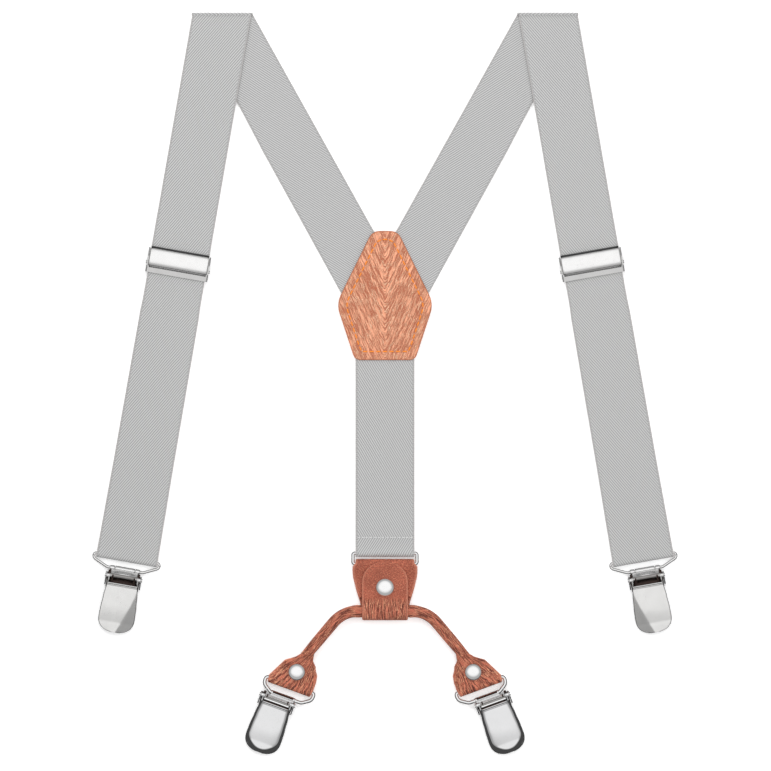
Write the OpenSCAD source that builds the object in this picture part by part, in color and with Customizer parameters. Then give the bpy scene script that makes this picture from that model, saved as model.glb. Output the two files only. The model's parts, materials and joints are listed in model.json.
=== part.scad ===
// Y-back clip-on suspenders laid flat: elastic webbing, leather patch and rear yoke, metal clips.
// The front faces up (+Z), +Y runs up to the shoulder folds, and the right side is +X.

/* [Webbing] */
// Width of the elastic webbing
web_w = 35; // [30:0.5:36]
// Thickness of the elastic webbing
web_t = 1.2; // [1:0.1:1.3]

/* [Layout] */
// Angle of the front straps from straight down
front_tilt = 9.9; // [6:0.1:12]
// Height of the shoulder folds above the patch's widest line
shoulder_rise = 170.8; // [150:0.5:190]
// Distance of each shoulder fold's middle from the centre line
shoulder_x = 95.7; // [90:0.5:105]
// Length of a front strap from the shoulder fold to the clip's wire loop
front_len = 325.8; // [300:0.5:350]
// Distance along the front strap from the shoulder fold to the adjuster
adjuster_at = 150.4; // [140:0.5:180]
// Length of the back strap from the patch's widest line to the ring
back_len = 147.1; // [130:0.1:170]
// Angle of the rear tabs and clips from straight down
rear_tilt = 20; // [15:1:25]

/* [Leather] */
// Thickness of the patch leather
patch_t = 1.2; // [1:0.1:1.5]
// Thickness of the connector and yoke leather
hide_t = 1.8; // [1.6:0.1:2]
// Diameter of the rolled leather cord of the yoke
cord_d = 7; // [6.6:0.1:7.2]
// Width of the leather tabs that hold the rear clips
tab_w = 27; // [26:0.5:28]
// Distance of the connector's rivet below the ring
rivet_drop = 14; // [13:0.5:15]
// Distance of the yoke's cord below the ring
cord_drop = 27.9; // [27:0.1:30]

/* [Metal] */
// Diameter of the loop and ring wire
wire_d = 1.9; // [1.8:0.1:2]
// Thickness of the clip and adjuster sheet metal
sheet_t = 0.8; // [0.7:0.1:0.9]
// Length of a clip's lever
lever_len = 29.7; // [28:0.1:31]
// Greatest width of a clip's lever
lever_w = 21.5; // [21:0.1:22]
// Diameter of the clip's hinge pin
pin_d = 1.4; // [1.2:0.1:1.5]
// Height of the adjuster along the strap
adjuster_h = 14.6; // [14:0.1:15]

/* [Hidden] */
$fn = 48;

ELASTIC = [0.76, 0.76, 0.76];
TAN = [0.86, 0.55, 0.40];
BROWN = [0.70, 0.40, 0.31];
ORANGE = [0.90, 0.48, 0.15];
STEEL = [0.80, 0.80, 0.81];
RUBBER = [0.85, 0.85, 0.83];

// Shift that puts the origin under the middle of the whole object
centre_y = 47.9;

wire_r = wire_d / 2;
bend_swell = 0.02;
bend_bite = 0.15;
// Play between a wire and what is folded round it
wire_play = 0.05;
fold_in = wire_r + wire_play;
web_fold = fold_in + web_t;
hide_fold = fold_in + hide_t;
// Heights of the wire bars above the floor, so that each fold just clears it
front_bar_z = web_fold + 0.1;
rear_bar_z = hide_fold + 0.5;
hide_z = rear_bar_z - hide_fold;

// Webbing levels: under side of each layer
strap_z = patch_t;
over_z = strap_z + web_t + 0.3;
adjuster_strap_z = 4.3;
loop_strap_z = front_bar_z + fold_in;
front_patch_z = strap_z + web_t;

// Patch outline, upper right half, clockwise from the top
patch_corners = [[7.4, 42.4], [28.6, -0.4], [17.7, -33.5]];
patch_rounds = [7, 14, 4];
seam_inset = 5;
seam_w = 0.8;

/* Helpers */

function unit(v) = v / norm(v);
function left_of(v) = [-v[1], v[0]];
function turn_of(a, b) = acos(max(-1, min(1, unit(a) * unit(b))));
function reversed(list) = [for (i = [len(list) - 1:-1:0]) list[i]];
function wrap_at(list, i) = list[(i + len(list)) % len(list)];

// A polygon's corner i rounded with radius r, as points along the arc (counter-clockwise polygon)
function rounded_corner(pts, i, r, steps = 6) =
    let (p = pts[i],
         a = unit(p - wrap_at(pts, i - 1)),
         b = unit(wrap_at(pts, i + 1) - p),
         turn = turn_of(a, b),
         c = p - a * r * tan(turn / 2) + left_of(a) * r,
         start = atan2(-left_of(a)[1], -left_of(a)[0]))
    [for (k = [0:steps]) c + r * [cos(start + turn * k / steps), sin(start + turn * k / steps)]];

function rounded(pts, radii) =
    [for (i = [0:len(pts) - 1]) each rounded_corner(pts, i, radii[i])];

// A polygon moved inwards by d, corner by corner (counter-clockwise polygon)
function inset(pts, d) =
    [for (i = [0:len(pts) - 1])
        let (n = left_of(unit(pts[i] - wrap_at(pts, i - 1))),
             m = left_of(unit(wrap_at(pts, i + 1) - pts[i])))
        pts[i] + (n + m) * d / (1 + n * m)];

function mirrored(pts) = [for (p = reversed(pts)) [-p[0], p[1]]];

// Outline of a layer in the strap's side view, from its under side and its thickness
function layer(under, t) = concat(under, [for (p = reversed(under)) p + [0, t]]);

// Side-view outline (Y, Z) drawn w wide along X
module across(w) {
    rotate([90, 0, 90])
        linear_extrude(w, center = true) children();
}

// Half a turn of a sheet folded round a bar along X; side 1 opens down the strap, -1 up it
module half_fold(r_in, t, w, side = 1) {
    rotate([0, 90, 0])
        rotate([0, 0, side > 0 ? 180 : 0])
            rotate_extrude(angle = 180)
                translate([r_in, -w / 2]) square([t, w]);
}

// A rod of radius r along X, of length w
module rod(r, w) {
    rotate([0, 90, 0]) cylinder(r = r, h = w, center = true);
}

// A closed loop of round wire through the corners of a convex, counter-clockwise outline.
// Its bends are a hair thicker than its straights, which end just inside them.
module wire_loop(pts, bend) {
    for (i = [0:len(pts) - 1]) {
        p = pts[i];
        q = wrap_at(pts, i + 1);
        a = unit(p - wrap_at(pts, i - 1));
        b = unit(q - p);
        c = unit(wrap_at(pts, i + 2) - q);
        turn = turn_of(a, b);
        start = p + b * (bend * tan(turn / 2) - bend_bite);
        stop = q - b * (bend * tan(turn_of(b, c) / 2) - bend_bite);
        heart = p - a * bend * tan(turn / 2) + left_of(a) * bend;
        translate(heart)
            rotate(atan2(-left_of(a)[1], -left_of(a)[0]))
                rotate_extrude(angle = turn)
                    translate([bend, 0]) circle(wire_r + bend_swell, $fn = 24);
        translate(start)
            rotate([0, 0, atan2(b[1], b[0])])
                rotate([0, 90, 0])
                    cylinder(r = wire_r, h = norm(stop - start), $fn = 24);
    }
}

/* Places: every clip, loop and adjuster is drawn at the origin with the strap above it */

module at_shoulder(side) {
    translate([side * shoulder_x, shoulder_rise + centre_y, 0])
        rotate([0, 0, side * front_tilt]) children();
}

module at_adjuster(side) {
    at_shoulder(side) translate([0, -adjuster_at, 0]) children();
}

module at_front_bar(side) {
    at_shoulder(side) translate([0, -front_len, front_bar_z]) children();
}

module at_ring() {
    translate([0, centre_y - back_len, rear_bar_z]) children();
}

module at_connector() {
    at_ring() translate([0, -ring_h, 0]) children();
}

module at_tab(side) {
    translate([side * tab_x, centre_y - tab_drop, rear_bar_z])
        rotate([0, 0, side * rear_tilt]) children();
}

/* Patch */

module patch_outline(d) {
    ordered = reversed(concat(mirrored(patch_corners), patch_corners));
    radii = [for (i = [2, 1, 0, 0, 1, 2]) max(0.5, patch_rounds[i] - d)];
    polygon(rounded(inset(ordered, d), radii));
}

module patch(z) {
    translate([0, centre_y, z])
        linear_extrude(patch_t) patch_outline(0);
}

module front_patch() {
    color(TAN) patch(front_patch_z);
}

module rear_patch() {
    color(TAN) patch(0);
}

module patch_seam() {
    color(ORANGE)
        translate([0, centre_y, front_patch_z + patch_t])
            linear_extrude(0.3)
                difference() {
                    patch_outline(seam_inset);
                    patch_outline(seam_inset + seam_w);
                }
}

/* Front straps */

fold_r = (over_z + web_t - strap_z) / 2;
// A little wider than the slanted cuts of the layers that it joins
fold_w = web_w + 1.2;
// Where the strap's lower layer meets the patch's widest line
y_leg_x = 3.7;
y_leg_tilt = atan2(shoulder_x - y_leg_x, shoulder_rise);
// The two lower layers meet edge to edge here, with a hair between them
meet_gap = 0.1;
leg_end = 12;
// Stretch of strap that rises into the adjuster
ramp = 30;
// The strap and its end part meet under the adjuster's cover
join_gap = 0.2;

// The layers end this far inside the fold, which is a hair thicker than they are
fold_bite = 0.1;
fold_y = shoulder_rise - fold_r;

// Lower layer: from the shoulder fold down and inwards to the patch, drawn for the right side
module y_leg() {
    half = web_w / 2 / cos(y_leg_tilt);
    slope = tan(y_leg_tilt) * leg_end;
    top_half = fold_w / 2 - fold_bite;
    translate([0, centre_y, strap_z])
        linear_extrude(web_t)
            polygon([
                [shoulder_x - top_half, fold_y + fold_bite],
                [meet_gap, (meet_gap + half - y_leg_x) / tan(y_leg_tilt)],
                [meet_gap, -leg_end],
                [y_leg_x + half - slope, -leg_end],
                [shoulder_x + top_half, fold_y + fold_bite]
            ]);
}

module shoulder_fold() {
    translate([shoulder_x, fold_y + centre_y, strap_z + fold_r])
        half_fold(fold_r - web_t - bend_swell, web_t + 2 * bend_swell, fold_w, -1);
}

// Upper layer: from the shoulder fold down and outwards to the adjuster
module front_leg() {
    under = [[adjuster_at + 10, over_z], [ramp, over_z], [9, adjuster_strap_z],
             [join_gap / 2, adjuster_strap_z]];
    intersection() {
        at_adjuster(1)
            across(web_w) polygon(layer(under, web_t));
        translate([shoulder_x - 2 * web_w, 0, 0])
            cube([4 * web_w, fold_y + fold_bite + centre_y, 2 * adjuster_strap_z]);
    }
}

module strap(side) {
    color(ELASTIC)
        mirror([side > 0 ? 0 : 1, 0, 0]) {
            y_leg();
            shoulder_fold();
            front_leg();
        }
}

// Adjuster's rear bar, which the strap's sewn end is looped round
bar_y = -6;
bar_r = 0.8;
bar_fold = bar_r + wire_play;
bar_z = bar_fold + web_t + 0.05;
tail_len = 20;

// From the adjuster down round the clip's loop, back up behind, and round the adjuster's rear bar
module strap_end(side) {
    low = front_len - adjuster_at;
    front = [[-join_gap / 2, adjuster_strap_z], [-9, adjuster_strap_z], [-ramp, loop_strap_z],
             [-low, loop_strap_z]];
    lift = bar_z + bar_fold;
    back = [[-low, front_bar_z - web_fold], [-ramp, front_bar_z - web_fold], [-10, lift],
            [bar_y, lift]];
    tail = [[bar_y, bar_z - bar_fold - web_t], [bar_y - tail_len, bar_z - bar_fold - web_t]];
    color(ELASTIC)
        at_adjuster(side) {
            across(web_w) polygon(layer(front, web_t));
            across(web_w) polygon(layer(back, web_t));
            across(web_w) polygon(layer(tail, web_t));
            translate([0, -low, front_bar_z]) half_fold(fold_in, web_t, web_w);
            translate([0, bar_y, bar_z]) half_fold(bar_fold, web_t, web_w, -1);
        }
}

/* Back strap */

back_top = 12.5;
back_tail = 14;
back_split = 0.2;

module back_strap() {
    rise = strap_z + web_t;
    under = [[-back_top, strap_z], [-back_len + back_tail + 14, strap_z],
             [-back_len + back_tail + 3, rise], [-back_len + back_tail + back_split, rise]];
    color(ELASTIC)
        translate([0, centre_y, 0])
            across(web_w) polygon(layer(under, web_t));
}

// Sewn loop round the ring: front layer, fold and tail
module back_strap_end() {
    tail_z = rear_bar_z - web_fold;
    front = [[back_tail, tail_z + web_t], [7, tail_z + web_t], [1.5, rear_bar_z + fold_in],
             [0, rear_bar_z + fold_in]];
    color(ELASTIC)
        translate([0, centre_y - back_len, 0]) {
            across(web_w) polygon(layer(front, web_t));
            across(web_w) polygon(layer([[back_tail, tail_z], [0, tail_z]], web_t));
            translate([0, 0, rear_bar_z]) half_fold(fold_in, web_t, web_w);
        }
}

/* Adjuster: frame with ears, hinge pin and domed cam cover */

ear_in = web_w / 2 + 0.2;
ear_out = ear_in + sheet_t;
cover_half = ear_in - 0.3;
hinge_y = -1.5;
hinge_z = 7.7;
hinge_r = 0.7;
hinge_play = 0.06;
half_h = adjuster_h / 2;
base_z = 3.1;
front_bar_w = 2.9;
strap_top = adjuster_strap_z + web_t;

module adjuster_frame(side) {
    ear = [[-half_h, 1.6], [-half_h + 3, 1.1], [-3.2, base_z], [half_h - 1, base_z],
           [half_h, base_z + 1], [half_h, 6.4], [2.2, hinge_z + 1.2], [-3.2, hinge_z + 1.2],
           [-half_h, strap_top + 1.3]];
    color(STEEL)
        at_adjuster(side)
            difference() {
                union() {
                    for (s = [-1, 1])
                        translate([s * (ear_in + ear_out) / 2, 0, 0])
                            across(sheet_t) polygon(ear);
                    translate([-ear_out, -3.2, base_z])
                        cube([2 * ear_out, half_h + 3.2 - 0.6, 1]);
                    translate([-ear_out, -half_h, strap_top + 0.15])
                        cube([2 * ear_out, front_bar_w, sheet_t]);
                    translate([0, bar_y, bar_z]) rod(bar_r, 2 * ear_in + sheet_t);
                }
                translate([0, hinge_y, hinge_z]) rod(hinge_r, 3 * web_w);
            }
}

module adjuster_pin(side) {
    color(STEEL)
        at_adjuster(side)
            translate([0, hinge_y, hinge_z]) {
                rod(hinge_r, 2 * ear_out);
                for (s = [-1, 1])
                    translate([s * (ear_out + 0.25), 0, 0]) rod(hinge_r + 0.3, 0.5);
            }
}

// Cover's side view about its hinge: a crowned plate that curls under to the toothed edge
module adjuster_cover(side) {
    reach = half_h - hinge_y - 0.1;
    skin = [[reach, -0.5], [reach - 2.5, 0.5], [4.6, 1.0], [2, 1.3], [0, 1.35], [-1.4, 1.0],
            [-2.1, 0.2], [-2.05, -0.7], [-0.9, -1.9], [-0.6, -1.6], [-1.4, -0.5], [-1.3, 0.2],
            [-0.9, 0.55], [0, 0.75], [2, 0.7], [4.6, 0.4], [reach - 2.6, -0.1], [reach - 0.3, -0.9]];
    color(STEEL)
        at_adjuster(side)
            translate([0, hinge_y, hinge_z])
                difference() {
                    union() {
                        across(2 * cover_half) polygon(skin);
                        for (s = [-1, 1])
                            translate([s * (cover_half - sheet_t / 2), 0, 0])
                                rod(1.5, sheet_t);
                    }
                    rod(hinge_r + hinge_play, 3 * web_w);
                }
}

/* Wire loops and ring */

ring_h = 6.2;
ring_half = web_w / 2 + 1.3;
// Small enough for the straps folded over the bars to clear the corners
ring_bend = 1.1;
front_loop = [[-19.6, 0], [-19.6, -3], [-10.8, -6.8], [10.8, -6.8], [19.6, -3], [19.6, 0]];
rear_loop = [[-14.9, 0], [-14.9, -3.6], [-9.2, -7.8], [9.2, -7.8], [14.9, -3.6], [14.9, 0]];
loop_bend = 1.6;

module ring() {
    color(STEEL)
        at_ring()
            wire_loop([[-ring_half, 0], [-ring_half, -ring_h], [ring_half, -ring_h],
                       [ring_half, 0]], ring_bend);
}

/* Clip parts, drawn about the axis of the lower bar of the wire loop */

barrel_r = fold_in + 0.01 + sheet_t;
plate_z = -barrel_r;
// The hinge sits this far above the lever's upper edge
hinge_back = 3.2;
pivot_z = 2;
ear_gap = 9.9;
lever_top = 5.6;
lever_crown = 13;
lever_arch = 50;
crown_y = 9;
jaw_z = 1.5;
jaw_half = 7;
jaw_reach = 21;
// Lugs that carry the pin: the lever's sit outside the jaw's
lever_lug_x = 8.6;
jaw_lug_x = 6.4;
lug_r = 1.5;
jaw_lug_r = 1.3;
plate_gap = 2;
ear_reach = 5.6;
ear_top = 3.4;
window_w = 15.2;
window_h = 2.6;
pad_t = 1.2;
pad_w = 9;
pad_start = 8;
ridges = 6;
ridge_pitch = 2;
ridge_h = 0.4;

// Half-width of the lever's outline at v, from 0 at its upper edge to 1 at its tip
function lever_half(v) =
    v < 0.5
    ? lever_w / 2 - 1.75 * (1 - sin(180 * v))
    : lever_w / 2 * pow(1 - pow(2 * v - 1, 2.6), 1 / 2.2);

function lever_side(neck, d, steps = 14) =
    [for (k = [0:steps])
        let (v = k < steps / 2 ? k / steps : 1 - 0.5 * pow(2 * (1 - k / steps), 1.6))
        [max(0.01, lever_half(v) - d), -neck - v * (lever_len - d)]];

module lever_outline(neck, d) {
    one = lever_side(neck, d);
    polygon(concat(one, reversed([for (p = one) [-p[0], p[1]]])));
}

// The dome that the lever's outline cuts: a crown across and an arch along
module lever_dome(neck, d) {
    intersection() {
        translate([0, -neck - crown_y, lever_top - lever_crown])
            rotate([90, 0, 0]) cylinder(r = lever_crown - d, h = 4 * lever_len, center = true, $fn = 96);
        translate([0, -neck - crown_y, lever_top - lever_arch])
            rod(lever_arch - d, 3 * lever_w, $fn = 96);
    }
}

module clip_lever(neck) {
    pivot_y = hinge_back - neck;
    cheek = [[pivot_y, pivot_z + 1.4], [-neck - 0.2, 1.2], [-neck - 4, 0.7], [-neck - 4, -0.4],
             [pivot_y - 1, pivot_z - lug_r], [pivot_y, pivot_z - lug_r]];
    difference() {
        union() {
            difference() {
                intersection() {
                    translate([0, 0, -0.6]) linear_extrude(12) lever_outline(neck, 0);
                    lever_dome(neck, 0);
                }
                intersection() {
                    translate([0, 0, -2]) linear_extrude(12) {
                        lever_outline(neck, sheet_t);
                        translate([-lever_half(0) + sheet_t, -neck - 1])
                            square([2 * (lever_half(0) - sheet_t), 4]);
                    }
                    lever_dome(neck, sheet_t);
                }
            }
            for (s = [-1, 1])
                translate([s * lever_lug_x, 0, 0]) {
                    across(sheet_t) polygon(cheek);
                    translate([0, pivot_y, pivot_z]) rod(lug_r, sheet_t);
                }
        }
        translate([0, pivot_y, pivot_z]) rod(pin_d / 2 + hinge_play, 3 * lever_w);
    }
}

// lean is how far the barrel sits off the clip's middle
module clip_frame(neck, neck_half, window, lean) {
    pivot_y = hinge_back - neck;
    top = pivot_y + plate_gap;
    low = pivot_y - ear_reach;
    wide = ear_gap + sheet_t;
    ear = [[top, plate_z], [top, 1.6], [pivot_y + 1.1, ear_top], [pivot_y - 1.1, ear_top],
           [low, 0.2], [low, plate_z]];
    difference() {
        union() {
            translate([0, 0, plate_z])
                linear_extrude(sheet_t) {
                    translate([0, -0.3]) lever_outline(neck, 0.6);
                    polygon([[lean - neck_half, 0], [lean - neck_half, top], [-wide, top],
                             [-wide, low], [wide, low], [wide, top], [lean + neck_half, top],
                             [lean + neck_half, 0]]);
                }
            translate([lean, 0, 0]) rod(barrel_r, 2 * neck_half);
            for (s = [-1, 1])
                translate([s * (ear_gap + sheet_t / 2), 0, 0])
                    across(sheet_t) polygon(ear);
        }
        rod(barrel_r - sheet_t, 3 * lever_w);
        translate([0, pivot_y, pivot_z]) rod(pin_d / 2, 3 * lever_w);
        if (window)
            translate([-window_w / 2, -neck + 0.2, plate_z - 1])
                cube([window_w, window_h, 3]);
    }
}

module clip_pin(neck) {
    translate([0, hinge_back - neck, pivot_z]) {
        rod(pin_d / 2, 2 * (ear_gap + sheet_t));
        for (s = [-1, 1])
            translate([s * (ear_gap + sheet_t + 0.2), 0, 0]) rod(pin_d / 2 + 0.3, 0.4);
    }
}

module clip_jaw(neck) {
    pivot_y = hinge_back - neck;
    cheek = [[pivot_y, pivot_z + 1.2], [pivot_y - 3.6, jaw_z + sheet_t], [pivot_y - 3.6, jaw_z],
             [pivot_y, pivot_z - jaw_lug_r]];
    side = [[4.2, -neck - jaw_reach], [jaw_half, -neck - 12], [jaw_half, pivot_y - 2.6]];
    difference() {
        union() {
            translate([0, 0, jaw_z])
                linear_extrude(sheet_t)
                    polygon(concat(side, mirrored(side)));
            for (s = [-1, 1])
                translate([s * jaw_lug_x, 0, 0]) {
                    across(sheet_t) polygon(cheek);
                    translate([0, pivot_y, pivot_z]) rod(jaw_lug_r, sheet_t);
                }
        }
        translate([0, pivot_y, pivot_z]) rod(pin_d / 2 + hinge_play, 3 * lever_w);
    }
}

// Grip pad with cross ridges; up is 1 when the ridges face up
module grip_pad(neck, low, high, up) {
    start = -neck - pad_start;
    face = up > 0 ? high : low;
    back = up > 0 ? low : high;
    teeth = [for (k = [0:ridges - 1])
        each [[start - k * ridge_pitch, face - up * ridge_h], [start - (k + 0.5) * ridge_pitch, face]]];
    stop = start - ridges * ridge_pitch;
    across(pad_w)
        polygon(concat([[start, back]], teeth, [[stop, face - up * ridge_h], [stop, back]]));
}

/* The four clips */

front_neck = 7.9;
rear_neck = 6.2;
// The rear clips hang off the middle of their loops, and their barrels sit off their own middle
rear_shift = 4.1;
barrel_shift = 2.3;

module at_loop(side, is_front) {
    if (is_front) at_front_bar(side) children();
    else at_tab(side) children();
}

module at_clip(side, is_front) {
    at_loop(side, is_front)
        translate(is_front ? [0, front_loop[2][1], 0] : [side * rear_shift, rear_loop[2][1], 0])
            children();
}

module loop(side, is_front) {
    color(STEEL) at_loop(side, is_front) wire_loop(is_front ? front_loop : rear_loop, loop_bend);
}

module frame(side, is_front) {
    color(STEEL)
        at_clip(side, is_front)
            clip_frame(is_front ? front_neck : rear_neck, is_front ? 9.9 : 6.7, is_front,
                       is_front ? 0 : -side * barrel_shift);
}

module pin(side, is_front) {
    color(STEEL) at_clip(side, is_front) clip_pin(is_front ? front_neck : rear_neck);
}

module lever(side, is_front) {
    color(STEEL) at_clip(side, is_front) clip_lever(is_front ? front_neck : rear_neck);
}

module jaw(side, is_front) {
    color(STEEL) at_clip(side, is_front) clip_jaw(is_front ? front_neck : rear_neck);
}

module back_pad(side, is_front) {
    color(RUBBER)
        at_clip(side, is_front)
            grip_pad(is_front ? front_neck : rear_neck, plate_z + sheet_t,
                     plate_z + sheet_t + pad_t, 1);
}

module jaw_pad(side, is_front) {
    color(RUBBER)
        at_clip(side, is_front)
            grip_pad(is_front ? front_neck : rear_neck, jaw_z - pad_t + 0.2, jaw_z, -1);
}

/* Leather connector */

connector_half = web_w / 2 - 0.1;
connector_wide = 19.3;
tongue_half = 13.5;
cord_r = cord_d / 2;
cord_play = 0.05;
cord_fold = cord_r + cord_play + hide_t;
cord_z = hide_z + cord_fold;
rivet_r = 1.5;

module connector_sheet(under) {
    at_connector()
        translate([0, 0, -hide_fold])
            across(3 * tongue_half) polygon(layer(under, hide_t));
}

module connector() {
    top = 2 * fold_in + hide_t;
    wrap_top = 2 * cord_r + 2 * cord_play + hide_t;
    color(BROWN)
        difference() {
            union() {
                at_connector() half_fold(fold_in, hide_t, 2 * connector_half, -1);
                // Rear sheet, from the ring down to the cord
                intersection() {
                    connector_sheet([[0, 0], [-cord_drop, 0]]);
                    connector_prism(connector_half);
                }
                // Front sheet, from the ring down to just above the cord
                intersection() {
                    connector_sheet([[0, top], [-1, top], [-8, hide_t], [-20, hide_t]]);
                    connector_prism(connector_wide);
                }
                // Rounded tongue over it, which goes on round the cord
                intersection() {
                    connector_sheet([[-2, top + hide_t - 0.4], [-8, 2 * hide_t], [-19.8, 2 * hide_t],
                                     [-25, wrap_top - 0.1], [-cord_drop, wrap_top]]);
                    tongue_prism();
                }
                translate([0, centre_y - back_len - ring_h - cord_drop, cord_z])
                    half_fold(cord_r + cord_play, hide_t, 2 * tongue_half);
            }
            at_connector()
                translate([0, -rivet_drop, -10]) cylinder(r = rivet_r, h = 30);
        }
}

// Plan of the connector: widest just below the ring, narrowing to the cord
module connector_prism(wide) {
    side = [[connector_half, 0], [wide, -1], [wide - 0.2, -6], [wide - 2.3, -15],
            [tongue_half + 0.7, -cord_drop]];
    at_connector()
        translate([0, 0, -10])
            linear_extrude(30)
                polygon(concat(side, mirrored(side)));
}

module tongue_prism() {
    at_connector()
        translate([0, 0, -10])
            linear_extrude(40)
                union() {
                    translate([0, -2 - tongue_half]) circle(tongue_half);
                    translate([-tongue_half, -cord_drop])
                        square([2 * tongue_half, cord_drop - 2 - tongue_half]);
                }
}

// Rivet through leather: domed cap, post and flat back head
module rivet(cap_r, cap_z, back_r) {
    cap_h = 1.3;
    dome = (cap_r * cap_r + cap_h * cap_h) / (2 * cap_h);
    cylinder(r = rivet_r, h = cap_z + 0.2);
    cylinder(r = back_r, h = hide_z);
    intersection() {
        translate([0, 0, cap_z]) cylinder(r = cap_r, h = cap_h);
        translate([0, 0, cap_z + cap_h - dome]) sphere(r = dome, $fn = 96);
    }
}

module connector_rivet() {
    color(STEEL)
        translate([0, centre_y - back_len - ring_h - rivet_drop, 0])
            rivet(5.5, hide_z + 3 * hide_t, 4.5);
}

/* Yoke: rolled cord through the connector, and a folded tab at each end */

cord_straight = 15.9;
cord_bend = 18.9;
cord_turn = 50;
cord_run = 19;
neck_bite = 3;
neck_len = 14;
neck_dip = 14;
tab_x = 55.7;
tab_drop = 224.6;
tab_rivet = [-1, 8.4];
tab_solid = 5;

// One end of the cord with its tab, drawn for the right side
module yoke_arm() {
    drop = back_len + ring_h + cord_drop;
    end_x = cord_straight + cord_bend * sin(cord_turn);
    end_y = centre_y - drop - cord_bend * (1 - cos(cord_turn));
    translate([cord_straight, centre_y - drop - cord_bend, cord_z])
        rotate(90 - cord_turn)
            rotate_extrude(angle = cord_turn) translate([cord_bend, 0]) circle(cord_r + bend_swell);
    translate([end_x, end_y, cord_z])
        rotate([0, 0, -cord_turn])
            translate([-bend_bite, 0, 0])
                rotate([0, 90, 0]) {
                    cylinder(r = cord_r, h = cord_run);
                    // The cord flattens into the tab
                    translate([0, 0, cord_run - neck_bite])
                        rotate([0, neck_dip, 0])
                            cylinder(r1 = cord_r - 0.1, r2 = cord_r - 1, h = neck_len);
                }
    at_tab(1) tab();
}

// Folded leather tab about the axis of the rear loop's upper bar, drawn for the right side
module tab() {
    half = tab_w / 2;
    face = [[-half, 0], [half, 0], [half + 0.4, 1.5], [9, 12.3], [1, 18.7], [-3, 24.5],
            [-5.5, 22.5], [-7, 17.8], [-12.3, 12.5], [-half - 0.4, 3]];
    gap = 2 * fold_in;
    difference() {
        union() {
            translate([0, 0, fold_in]) linear_extrude(hide_t) polygon(face);
            translate([0, 0, -hide_fold]) linear_extrude(hide_t) polygon(face);
            translate([0, 0, -hide_fold])
                linear_extrude(gap + 2 * hide_t)
                    intersection() {
                        polygon(face);
                        translate([-tab_w, tab_solid]) square([2 * tab_w, tab_w]);
                    }
            half_fold(fold_in, hide_t, tab_w);
        }
        translate([tab_rivet[0], tab_rivet[1], -10]) cylinder(r = rivet_r, h = 20);
    }
}

module yoke() {
    color(BROWN) {
        translate([0, centre_y - back_len - ring_h - cord_drop, cord_z])
            rod(cord_r, 2 * (cord_straight + bend_bite));
        yoke_arm();
        mirror([1, 0, 0]) yoke_arm();
    }
}

module tab_rivet(side) {
    color(STEEL)
        at_tab(side)
            translate([side * tab_rivet[0], tab_rivet[1], -rear_bar_z])
                rivet(5, rear_bar_z + hide_fold, 4.2);
}

/* Drawing */

front_patch();
rear_patch();
patch_seam();
strap(-1);  // left_strap
strap(1);  // right_strap
strap_end(-1);  // left_strap_end
strap_end(1);  // right_strap_end
back_strap();
back_strap_end();
adjuster_frame(-1);  // left_adjuster_frame
adjuster_pin(-1);  // left_adjuster_pin
adjuster_cover(-1);  // left_adjuster_cover
adjuster_frame(1);  // right_adjuster_frame
adjuster_pin(1);  // right_adjuster_pin
adjuster_cover(1);  // right_adjuster_cover
ring();
connector();
connector_rivet();
yoke();
tab_rivet(-1);  // left_tab_rivet
tab_rivet(1);  // right_tab_rivet
loop(-1, true);  // front_left_loop
frame(-1, true);  // front_left_clip_frame
pin(-1, true);  // front_left_clip_pin
back_pad(-1, true);  // front_left_back_pad
lever(-1, true);  // front_left_lever
jaw(-1, true);  // front_left_jaw
jaw_pad(-1, true);  // front_left_jaw_pad
loop(1, true);  // front_right_loop
frame(1, true);  // front_right_clip_frame
pin(1, true);  // front_right_clip_pin
back_pad(1, true);  // front_right_back_pad
lever(1, true);  // front_right_lever
jaw(1, true);  // front_right_jaw
jaw_pad(1, true);  // front_right_jaw_pad
loop(-1, false);  // rear_left_loop
frame(-1, false);  // rear_left_clip_frame
pin(-1, false);  // rear_left_clip_pin
back_pad(-1, false);  // rear_left_back_pad
lever(-1, false);  // rear_left_lever
jaw(-1, false);  // rear_left_jaw
jaw_pad(-1, false);  // rear_left_jaw_pad
loop(1, false);  // rear_right_loop
frame(1, false);  // rear_right_clip_frame
pin(1, false);  // rear_right_clip_pin
back_pad(1, false);  // rear_right_back_pad
lever(1, false);  // rear_right_lever
jaw(1, false);  // rear_right_jaw
jaw_pad(1, false);  // rear_right_jaw_pad
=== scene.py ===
import json
import math

import bpy
from mathutils import Matrix, Vector

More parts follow.
